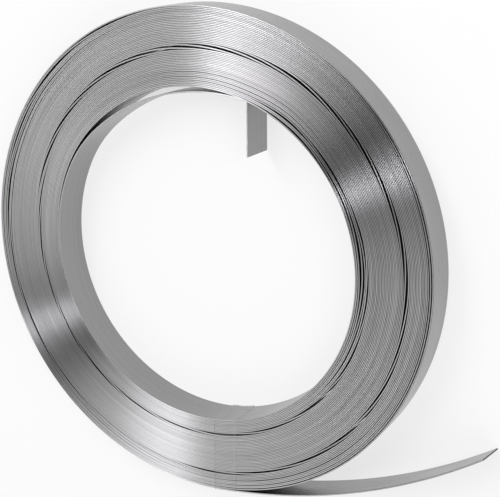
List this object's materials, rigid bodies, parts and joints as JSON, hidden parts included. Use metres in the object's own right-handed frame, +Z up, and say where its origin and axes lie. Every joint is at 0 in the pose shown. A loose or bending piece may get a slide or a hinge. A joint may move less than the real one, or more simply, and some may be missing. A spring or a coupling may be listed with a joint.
{
  "type": "steel strip coil",
  "caption": "Flat ring-shaped coil of narrow bright steel strip round an open bore, with a sprung outer tail, a loose inner turn bent into a tab and a band of clear tape.",
  "frame": {"origin": "centre of the bore on the coil's axis, midway between its two end faces", "axes": "+Z up along the coil's axis with the coil lying on its back end, +X to the side that the tail springs out to, +Y to the side of the sprung inner turn"},
  "size_m": [0.2623, 0.2363, 0.019],
  "materials": {
    "bright_steel": "bright cold-rolled strip, satin on the slit edges",
    "clear_film": "thin clear tape"
  },
  "bodies": {
    "root": {"steel_coil": "bright_steel", "clear_tape": "clear_film"}
  },
  "joints": []
}
